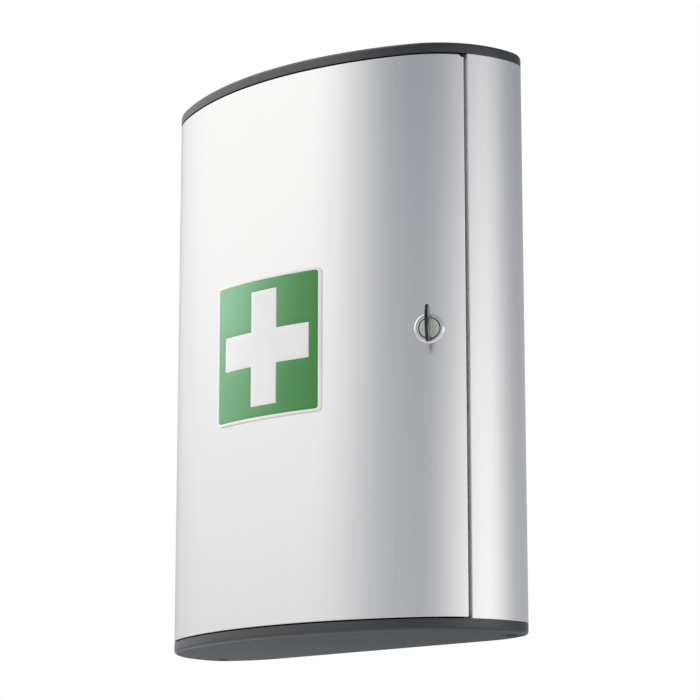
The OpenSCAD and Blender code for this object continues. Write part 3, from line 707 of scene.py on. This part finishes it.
door_fold, door_crisp, door_start = fold(door_turn, door_sheet, 1)
rolled = arc(hinge, knuckle_radius - door_sheet / 2, -hinge_turn, -hinge_turn - knuckle_end, knuckle_step)
door_path = chain(door_fold, outline(door_sheet / 2, door_start, -hinge_turn, fine_step), rolled)
door_crisp = np.pad(door_crisp, (0, len(door_path) - len(door_fold)))
print("door path points:", len(door_path), "knuckle radius", round(knuckle_radius / mm, 2))

# %% Notch at the top of the seam
notch_width, notch_height = 2.2 * mm, 1.6 * mm
from_edge = (door_path[:, :2] - shoulder) @ heading(door_turn + 90)
in_front = (door_path[:, :2] - shoulder) @ heading(door_turn) > 0
door_top = np.where((from_edge > -notch_width) & in_front, half_door - notch_height, half_door)
print("path points in the notch:", int((door_top < half_door).sum()))

# %% [markdown]
# ## The hole for the lock
# The lock's barrel passes through a punched hole with two flats. A window of the sheet's grid is left out
# round it, on both faces, and a tube of rings fills it: from the window's edge in to the hole on the
# outside, through the sheet, and out to the window's edge on the inside.

# %% Window in the sheet and rings round the hole
lock_place, lock_axis = (np.array(joints["lock_turn"][key]) for key in ("pos_m", "axis"))
lock_turn = math.degrees(math.asin(lock_axis[0]))
hole_radius, hole_flat, window_half = 8.6 * mm, 7.8 * mm, 12 * mm
levels = np.linspace(-window_half, window_half, 9)
window = np.flatnonzero(abs(door_path[:, 2] - lock_turn) < math.degrees(window_half / shoulder_radius))
window = window[np.hypot(*(door_path[window, :2] - shoulder).T) > shoulder_radius - door_sheet]
turns = door_path[window, 2]
print("grid columns and rows in the window:", len(turns), len(levels))


def hole_rings(radius, rings=4):
    """Rings on a cylinder, from the window's edge to the hole's, in turn and z. At an angle from straight
    down the hole's edge is at the hole's radius or at flat / |cos|, whichever is nearer."""
    edge = np.concatenate([np.column_stack([turns[:-1], np.full(len(turns) - 1, levels[0])]),
                           np.column_stack([np.full(len(levels) - 1, turns[-1]), levels[:-1]]),
                           np.column_stack([turns[:0:-1], np.full(len(turns) - 1, levels[-1])]),
                           np.column_stack([np.full(len(levels) - 1, turns[0]), levels[:0:-1]])])
    down, aside = -edge[:, 1], np.radians(edge[:, 0] - lock_turn) * radius
    far = np.hypot(down, aside)
    reach = cut_flat(hole_radius, hole_flat, down / far)
    hole_turn = lock_turn + np.degrees(np.arcsin(aside / far * reach / radius))
    hole = np.column_stack([hole_turn, -down / far * reach])
    place = edge + np.linspace(0, 1, rings)[:, None, None] * (hole - edge)
    return np.concatenate([shoulder + radius * heading(place[..., 0]), place[..., 1:]], -1)


def without_window(points, faces, columns):
    """The sheet without its window: faces are dropped by the row and column that their number gives."""
    row, column = np.divmod(np.arange(len(faces) - 2), columns)
    outside, per_side = 1, len(levels) + 2
    inside = per_side + 2 * edge_points + 1
    across = (row >= window[0]) & (row < window[-1])
    upright = np.isin(column, np.arange(outside, outside + len(levels) - 1))
    upright |= np.isin(column, np.arange(inside, inside + len(levels) - 1))
    kept = np.flatnonzero(np.append(~(across & upright), [True, True]))
    return points, [faces[number] for number in kept]


# %% Which faces lie in a seam
seam_middle, seam_half, seam_floor, seam_mouth = -1 * mm, 4 * mm, 15 * mm, 0.4 * mm


def in_seam(places):
    """Faces between the two turned-in edges of a seam, or on the lip that closes it. out and aside are the
    distances along the seam's ray and beside it, and a seam at the left end is mirrored to the right."""
    from_shoulder = abs(places[:, :2]) * [1, -1] - shoulder
    out, aside = from_shoulder @ heading(seam_turn), from_shoulder @ heading(seam_turn + 90)
    inside = (out > shoulder_radius - seam_floor) & (out < shoulder_radius - seam_mouth)
    return (abs(aside - seam_middle) < seam_half) & inside


print("a seam's duller faces reach", round(seam_floor / mm), "mm in")

# %% The door
door_loops = sheet(door_path, door_sheet, door_top, levels, bottom=-half_door, crisp=door_crisp)
rings = np.concatenate([hole_rings(shoulder_radius), hole_rings(shoulder_radius - door_sheet)[::-1]])
around_hole = np.arange(rings.shape[0] * rings.shape[1]).reshape(rings.shape[:2])
around_hole = grid_faces(np.concatenate([around_hole, around_hole[:, :1]], 1)).tolist()
door_parts = [without_window(*ring_grid(door_loops), door_loops.shape[1]),
              (rings.reshape(-1, 3), around_hole)]
make_piece("door_sheet", door_parts, "door", door_metal, ["door_panel"],
           others=[(fold_metal, in_seam)])

# %% [markdown]
# ## The two ends
# Each end is an aluminium extrusion. Its outer strip turns in at the seam and ends in a lip, which stops the
# door and closes the view into the seam. Behind it a round channel takes the cap screws, and an L-shaped wall
# makes the groove for the back sheet. The strip, the groove, the web and the channel are four bars here.

# %% The strip with its lip
profile_wall, lip_thickness, lip_length, groove_wall = 1.5 * mm, 1.3 * mm, 7 * mm, 1.3 * mm
flange_depth, hollow, hollow_step = 14 * mm, 1.1 * mm, 12
half_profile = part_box("right_side_profile")[1].z
groove_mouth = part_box("right_side_profile")[0].x
strip_fold, strip_crisp, strip_start = fold(strip_turn, profile_wall, -1)
outward, along = heading(strip_turn), heading(strip_turn + 90)
lip_distance = shoulder_radius - flange_depth + lip_thickness / 2
flange_back = fold_set_back + profile_wall / 2
lip_tip = np.append(shoulder + outward * lip_distance - along * lip_length, strip_turn)
hollow_centre = shoulder + outward * (lip_distance + hollow) + along * (flange_back - hollow)
lip_path = chain(lip_tip[None], arc(hollow_centre, -hollow, strip_turn, strip_turn - 90, hollow_step))
wall_arcs = outline(profile_wall / 2, 180, strip_start, fine_step)[::-1]
strip_path = chain(lip_path, strip_fold, wall_arcs, np.array([[groove_mouth, -profile_wall / 2, 180]]))
strip_thickness = np.where(np.arange(len(strip_path)) < len(lip_path), lip_thickness, profile_wall)
strip_crisp = np.pad(strip_crisp, (len(lip_path), len(strip_path) - len(lip_path) - len(strip_fold)))
strip = ring_grid(sheet(strip_path, strip_thickness, half_profile, crisp=strip_crisp))
print("strip path points:", len(strip_path))

# %% Groove, web and screw channel
screw_place, channel_radius, channel_hole = np.array([half_width - 13 * mm, -23 * mm]), 3.8 * mm, 1.9 * mm
groove_middle, groove_end, groove_back = -3.45 * mm, rear[0] - 3 * mm, -0.9 * mm
bend, bend_step, web_start, chamfer = 1 * mm, 15, 0.5 * mm, 0.3 * mm
corner = np.array([groove_end - groove_wall / 2 - bend, groove_middle + bend])
groove_path = chain(np.array([[groove_mouth, groove_middle, 0]]), arc(corner, bend, 0, 90, bend_step),
                    np.array([[corner[0] + bend, groove_back, 90]]))
to_channel = screw_place - flank
reach, side_turn = np.hypot(*to_channel), math.degrees(math.atan2(to_channel[0], -to_channel[1]))
web_from, web_to = reach + channel_hole + web_start, flank_radius - profile_wall / 2
web_path = np.array([[*(flank + heading(side_turn) * r), side_turn + 90] for r in (web_from, web_to)])
tube = [(channel_radius, chamfer - half_profile), (channel_radius, half_profile - chamfer),
        (channel_radius - chamfer, half_profile), (channel_hole + chamfer, half_profile),
        (channel_hole, half_profile - chamfer), (channel_hole, chamfer - half_profile),
        (channel_hole + chamfer, -half_profile), (channel_radius - chamfer, -half_profile)]
channel = placed([turned(tube, 48)], lambda p: p + [*screw_place, 0])
right_end = [strip, ring_grid(sheet(groove_path, groove_wall, half_profile)),
             ring_grid(sheet(web_path, profile_wall, half_profile)), *channel]
left_end = placed(right_end, lambda p: p * [-1, 1, 1])
for side, parts in (("right", right_end), ("left", left_end)):
    make_piece(side + "_end", parts, "cabinet", end_metal, [side + "_side_profile"],
               others=[(fold_metal, in_seam)])

# %% [markdown]
# ## The sign
# A white plate with a raised border and cross, and a green inlay between them, lies on the bent door. So each
# part is drawn flat, as x and z, and a lift from the door; then y follows from the front arc at that lift.

# %% Lines, corners and the bend over the door
sign_half, sign_corner, border, cross_half, arm_half = 50 * mm, 4 * mm, 2 * mm, 40.5 * mm, 12.25 * mm
rest, base, inlay, proud, soft_edge = 0.02 * mm, 0.7 * mm, 1.3 * mm, 1.5 * mm, 0.3 * mm
grid_step, edge_shares, decimals = 4 * mm, (0, 0.12, 0.35, 0.65, 1), 9


def bent(points):
    """x, lift, z to the door: y is the front arc's y at x, on the arc's radius plus the lift."""
    x, lift, z = points.T
    return np.column_stack([x, front[1] - np.sqrt((front_radius + lift) ** 2 - x ** 2), z])


def lines(*edges):
    """Grid lines between edges: close together beside each edge, and spread evenly between them."""
    edges = np.array(sorted({round(sign * edge, decimals) for edge in edges for sign in (-1, 1)}))
    close = soft_edge * np.array(edge_shares)
    parts = [edges]
    for low, high in zip(edges[:-1], edges[1:]):
        if high - low > 2 * soft_edge:
            count = max(2, math.ceil((high - low) / grid_step))
            parts += [low + close, high - close, np.linspace(low + soft_edge, high - soft_edge, count)]
    return np.unique(np.round(np.concatenate(parts), decimals))


def softened(distance, level):
    """A height that falls over a quarter circle where the distance to the edge is less than soft_edge."""
    bite = 1 - np.clip(distance / soft_edge, 0, 1)
    return level - soft_edge * (1 - np.sqrt(1 - bite ** 2))


def rounded(points, half, corner):
    """Turns the square corners of a grid into round ones. With a and b the shares of the corner in the two
    directions, a becomes a * sqrt(1 - b * b / 2), and b likewise."""
    x, lift, z = points.T
    a = np.clip((abs(x) - half + corner) / corner, 0, None)
    b = np.clip((abs(z) - half + corner) / corner, 0, None)
    new_a, new_b = a * np.sqrt(1 - b ** 2 / 2), b * np.sqrt(1 - a ** 2 / 2)
    return np.column_stack([np.sign(x) * (abs(x) + (new_a - a) * corner), lift,
                            np.sign(z) * (abs(z) + (new_b - b) * corner)])


def middles(values):
    """The places half way between neighbours."""
    return (values[:-1] + values[1:]) / 2


def in_square(half):
    """A rule for how deep a place lies inside a square; it is negative outside."""
    return lambda x, z: half - np.maximum(abs(x), abs(z))


def in_cross(x, z):
    """How deep a place lies inside the cross; it is negative outside."""
    upright = np.minimum(arm_half - abs(x), cross_half - abs(z))
    level = np.minimum(cross_half - abs(x), arm_half - abs(z))
    return np.maximum(upright, level)


def sign_part(half, corner, level, bottom, edges, inside):
    """A slab of the sign where inside(x, z) is positive, softened along its edges."""
    places = lines(half, half - corner, *edges)
    x, z = np.meshgrid(places, places, indexing="ij")
    cell_x, cell_z = np.meshgrid(middles(places), middles(places), indexing="ij")
    points, faces = slab(places, places, inside(cell_x, cell_z) > 0, softened(inside(x, z), level), bottom)
    return rounded(points, half, corner), faces


print("grid lines across the cross:", len(lines(cross_half, arm_half)))


# %% Raised border
def rounded_path(half, corner, fill=24, corner_points=9):
    """A closed path round a square with round corners: rows of x, z and the outward direction in both."""
    rows = []
    for quarter in range(4):
        turn = np.radians(np.linspace(0, 90, corner_points) + 90 * quarter)
        out = np.column_stack([np.cos(turn), np.sin(turn)])
        bend = (half - corner) * np.sign(out[corner_points // 2]) + corner * out
        onward = 2 * (half - corner) * np.array([-out[-1, 1], out[-1, 0]])
        straight = bend[-1] + np.linspace(0, 1, fill)[1:-1, None] * onward
        rows += [np.hstack([bend, out]), np.hstack([straight, np.tile(out[-1], (fill - 2, 1))])]
    return np.concatenate(rows)


quarter = np.radians(np.linspace(0, 90, 4))
near, far = soft_edge * (1 - np.cos(quarter)), soft_edge * (1 - np.sin(quarter))
bead_x = np.concatenate([[0], near, border - far, [border]])
bead_lift = np.concatenate([[rest], proud - far, proud - near, [rest]])
path = rounded_path(sign_half, sign_corner)
bead = path[:, None, :2] - path[:, None, 2:] * bead_x[:, None]
bead = np.stack([bead[..., 0], np.broadcast_to(bead_lift, bead.shape[:2]), bead[..., 1]], -1)
print("loops along the border:", len(bead))

# %% Cross, base and inlay
hidden, play = 0.5 * mm, 0.1 * mm
field_half, field_corner = sign_half - border - play, sign_corner - border + 0.4 * mm
plate = sign_part(sign_half - hidden, sign_corner, base, rest, (), in_square(sign_half - hidden))
cross = sign_part(cross_half, arm_half, proud, base - play, (arm_half,), in_cross)
field = sign_part(field_half, field_corner, inlay, base + rest, (cross_half + play, arm_half + play),
                  lambda x, z: np.minimum(in_square(field_half)(x, z), -in_cross(x, z) - play))
make_piece("sign_plate_finished", placed([ring_grid(bead, closed_path=True), plate, cross], bent), "door",
           sign_white, ["sign_plate"])
make_piece("sign_inlay", placed([field], bent), "door", sign_green, ["sign_field"])

# %% [markdown]
# ## The lock
# A cam lock sits in the door beside the seam: a chromed head with a broad round edge, a threaded barrel with
# two flats, a nut and a curved saddle behind the sheet, and a turned plug with its key. Round parts are
# turned: a closed profile of radius and height goes round the lock's own axis. The head, the barrel and the
# nut are made here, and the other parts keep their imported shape.

# %% Axes of the lock
lock_down, lock_side = np.array([0, 0, -1.0]), np.array([-lock_axis[1], lock_axis[0], 0])


def on_lock(points):
    """Own coordinates of the lock to the cabinet's: x down, y towards the seam, z outwards."""
    return lock_place + points @ np.stack([lock_down, lock_side, lock_axis])


print("the lock points", round(lock_turn, 1), "degrees to the right of straight ahead")

# %% Profile of the head
head_radius, head_front, head_seat, broken_edge = 10.3 * mm, 2.4 * mm, 0.9 * mm, 0.15 * mm
barrel_radius, bore_radius, flat_half, inside_barrel = 8.5 * mm, 6.8 * mm, 7.7 * mm, 7.5 * mm
rim_wide, rim_high, face = 1.7 * mm, 1.1 * mm, head_front - broken_edge
mouth, mouth_draft, mouth_floor = bore_radius + 0.6 * mm, 0.02 * mm, head_front - 1.2 * mm
groove, groove_floor = head_radius - rim_wide - 0.3 * mm, face - 0.7 * mm
swell = np.radians(np.linspace(0, 90, 9))
head = [(bore_radius, 0), (bore_radius, head_front - 1.5 * mm), (mouth, mouth_floor),
        (mouth + mouth_draft, face - broken_edge), (mouth + broken_edge, face),
        (groove - 0.3 * mm, face), (groove - 0.05 * mm, groove_floor), (groove + 0.1 * mm, groove_floor),
        (groove + 0.25 * mm, head_front)]
head += list(zip(head_radius - rim_wide * (1 - np.sin(swell)), head_front - rim_high * (1 - np.cos(swell))))
head += [(head_radius, head_seat + broken_edge), (head_radius - broken_edge, head_seat),
         (inside_barrel, head_seat), (inside_barrel, 0)]
print("points on the head's profile:", len(head))

# %% Threaded barrel
barrel_end, thread_start, thread_pitch, thread_depth = -19.4 * mm, -3.6 * mm, 1.0 * mm, 0.35 * mm
barrel_side = barrel_radius - 0.05 * mm


def threaded(start, end, steps=72, rows_per_turn=6):
    """A tube cut by two flats. Its outer radius is side - depth * |2 * f - 1|, where f is the fraction of
    height / pitch - angle in turns, and the depth runs out over one pitch at each end."""
    height = np.linspace(start, end, round(abs(end - start) / thread_pitch * rows_per_turn) + 1)
    angle = round_axis(steps)
    fraction = (height / thread_pitch - angle / full_circle) % 1
    run_out = np.clip(np.minimum(height - end, start - height) / thread_pitch, 0, 1)
    outer = cut_flat(barrel_side - thread_depth * abs(2 * fraction - 1) * run_out, flat_half, np.cos(angle))
    inner = np.full((steps, 1), bore_radius)
    return spun(np.concatenate([inner, outer, inner], 1), angle, np.concatenate([[start], height, [end]]))


def in_mouth(places, margin=0.05 * mm):
    """The sides of the narrow gap round the plug, where the chrome stops and the metal is painted near black
    as shade.
    """
    along = (places - lock_place) @ lock_axis
    across = (places - lock_place) @ np.stack([lock_down, lock_side]).T
    return (np.hypot(*across.T) < mouth + margin) & (along < face - margin) & (along > 0)


neck = [(bore_radius, thread_start), (bore_radius, head_seat), (barrel_side, head_seat),
        (barrel_side, thread_start)]
housing = [turned(head, 128), turned(neck, 128, flat_half), threaded(thread_start, barrel_end)]
# the gap round the plug gets near black painted shade
make_piece("lock_head_and_barrel", placed(housing, on_lock), "door", chrome,
           ["lock_housing"], others=[(gap_painted_shade, in_mouth)])

# %% Nut
nut_front, nut_height, nut_across, nut_bore = -3.25 * mm, 4 * mm, 11 * mm, 8.55 * mm
crown_slope, side_angle = math.tan(math.radians(30)), full_circle / 6
angle = round_axis(96)
six_sided = nut_across / np.cos((angle + side_angle / 2) % side_angle - side_angle / 2)
radius = nut_bore + (six_sided - nut_bore) * np.linspace(0, 1, 5)
crown = np.clip(radius - nut_across, 0, None) * crown_slope
radius = np.concatenate([radius, radius[:, ::-1]], 1)
height = np.concatenate([nut_front - crown, nut_front - nut_height + crown[:, ::-1]], 1)
make_piece("hexagon_nut", placed([spun(radius, angle, height)], on_lock), "door", steel,
           ["lock_nut"], sharp=25)

# %% [markdown]
# ## Pieces that keep their imported shape
# Small sheets, screws and mouldings are already right in the imported model. Each gets a merged copy with its
# sharp edges broken by a small bevel, because no real edge is perfectly sharp, and then its own finish.
#
# The key is one stamping in dark nickel plate. Its finish is bright metal on the blade and neck and dark
# plate on the bow, so it goes from bright to dark along the lock's axis. That reads Object coordinates too,
# and the key's own motion doesn't move it.

# %% Key finish
bright_end, blend = 5.6 * mm, 0.4 * mm
dark_plate, bright_plate = (0.05, 0.052, 0.056, 1), (0.8, 0.81, 0.78, 1)


# bright metal on the blade and neck, dark plate on the bow
def bright_blade_share(s):
    """1 on the blade and the neck and 0 on the bow. The place along the axis is place . axis."""
    x, y, _ = object_place(s)
    along = x * float(lock_axis[0]) + y * float(lock_axis[1]) - float(lock_place @ lock_axis)
    return 1 - along.step(bright_end - blend, bright_end + blend)


def key_colour(s):
    """Dark plate on the bow, and cloudy bright metal on the blade and neck."""
    return (bright_blade_share(s) * (0.75 + 0.25 * noise(s, 500))).mix(dark_plate, bright_plate)


key_nickel = finish("dark_nickel", 1.0, 0.5, key_colour, lambda s: 0.18 + 0.14 * noise(s, 300, detail=4.0),
                    lambda s: noise(s, 1800), 0.02 * mm)
print("key finish: dark bow, bright below", round(bright_end / mm, 1), "mm")

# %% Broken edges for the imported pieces
kept_shapes = [
    # near black painted shade on the door ribs
    ("anthracite_plastic", painted_shade_plastic, 0.25 * mm, ["door_top_rib", "door_bottom_rib"]),
    ("anthracite_plastic", anthracite, 0.25 * mm, ["lock_saddle", "lock_seat_ring"]),
    ("grey_sheet", grey_paint, 0.25 * mm, ["back_panel", "floor_panel", "ceiling_panel"]),
    ("white_sheet", white_paint, 0.4 * mm, ["lower_shelf", "upper_shelf"]),
    ("white_plastic", white_moulding, 0.2 * mm, ["shelf_clips", "pivot_bushes"]),
    ("black_rubber", rubber, 0.3 * mm, ["wall_pads", "closing_buffers"]),
    ("rivet_aluminium", rivet_metal, 0.15 * mm, ["shelf_rivets", "strike_rivets"]),
    ("zinc_steel", steel, 0.15 * mm, ["strike_plate", "cap_screws", "hinge_pins"]),
    ("zinc_steel", steel, 0.15 * mm, ["stop_disc", "cam", "cam_screw"]),
    ("lock_nickel", nickel, 0.12 * mm, ["lock_plug"]),
    ("brass", brass, 0.08 * mm, ["lock_wafers"]),
    ("dark_nickel", key_nickel, 0.2 * mm, ["key"]),
]
for slot, material, width, nodes in kept_shapes:
    for node in nodes:
        refined(node, material, width)

# %% Caps
flat_skin, inner_reach, cap_round, cap_segments = 0.1 * mm, 1.2 * mm, 0.8 * mm, 3
# the caps' faces over the door ribs get near black painted shade, and their flats get painted light
cap_finishes = [(grained, lambda places: abs(places[:, 2]) > half_height - flat_skin),
                (painted_shade_plastic, lambda places: abs(places[:, 2]) < half_door + inner_reach)]
for node in ("top_cap", "bottom_cap"):
    refined(node, anthracite, cap_round, cap_segments, others=cap_finishes)

# %% [markdown]
# ## Sizes
# The dressed cabinet is meant to stay in the imported cabinet's box, so both boxes are printed side by side.

# %% Print both boxes
boxes = {"cad": [list(corner) for corner in cad_box], "visual": [list(corner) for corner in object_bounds()]}
for name, box in boxes.items():
    print("box in mm,", name, [round(v / mm, 2) for corner in box for v in corner])
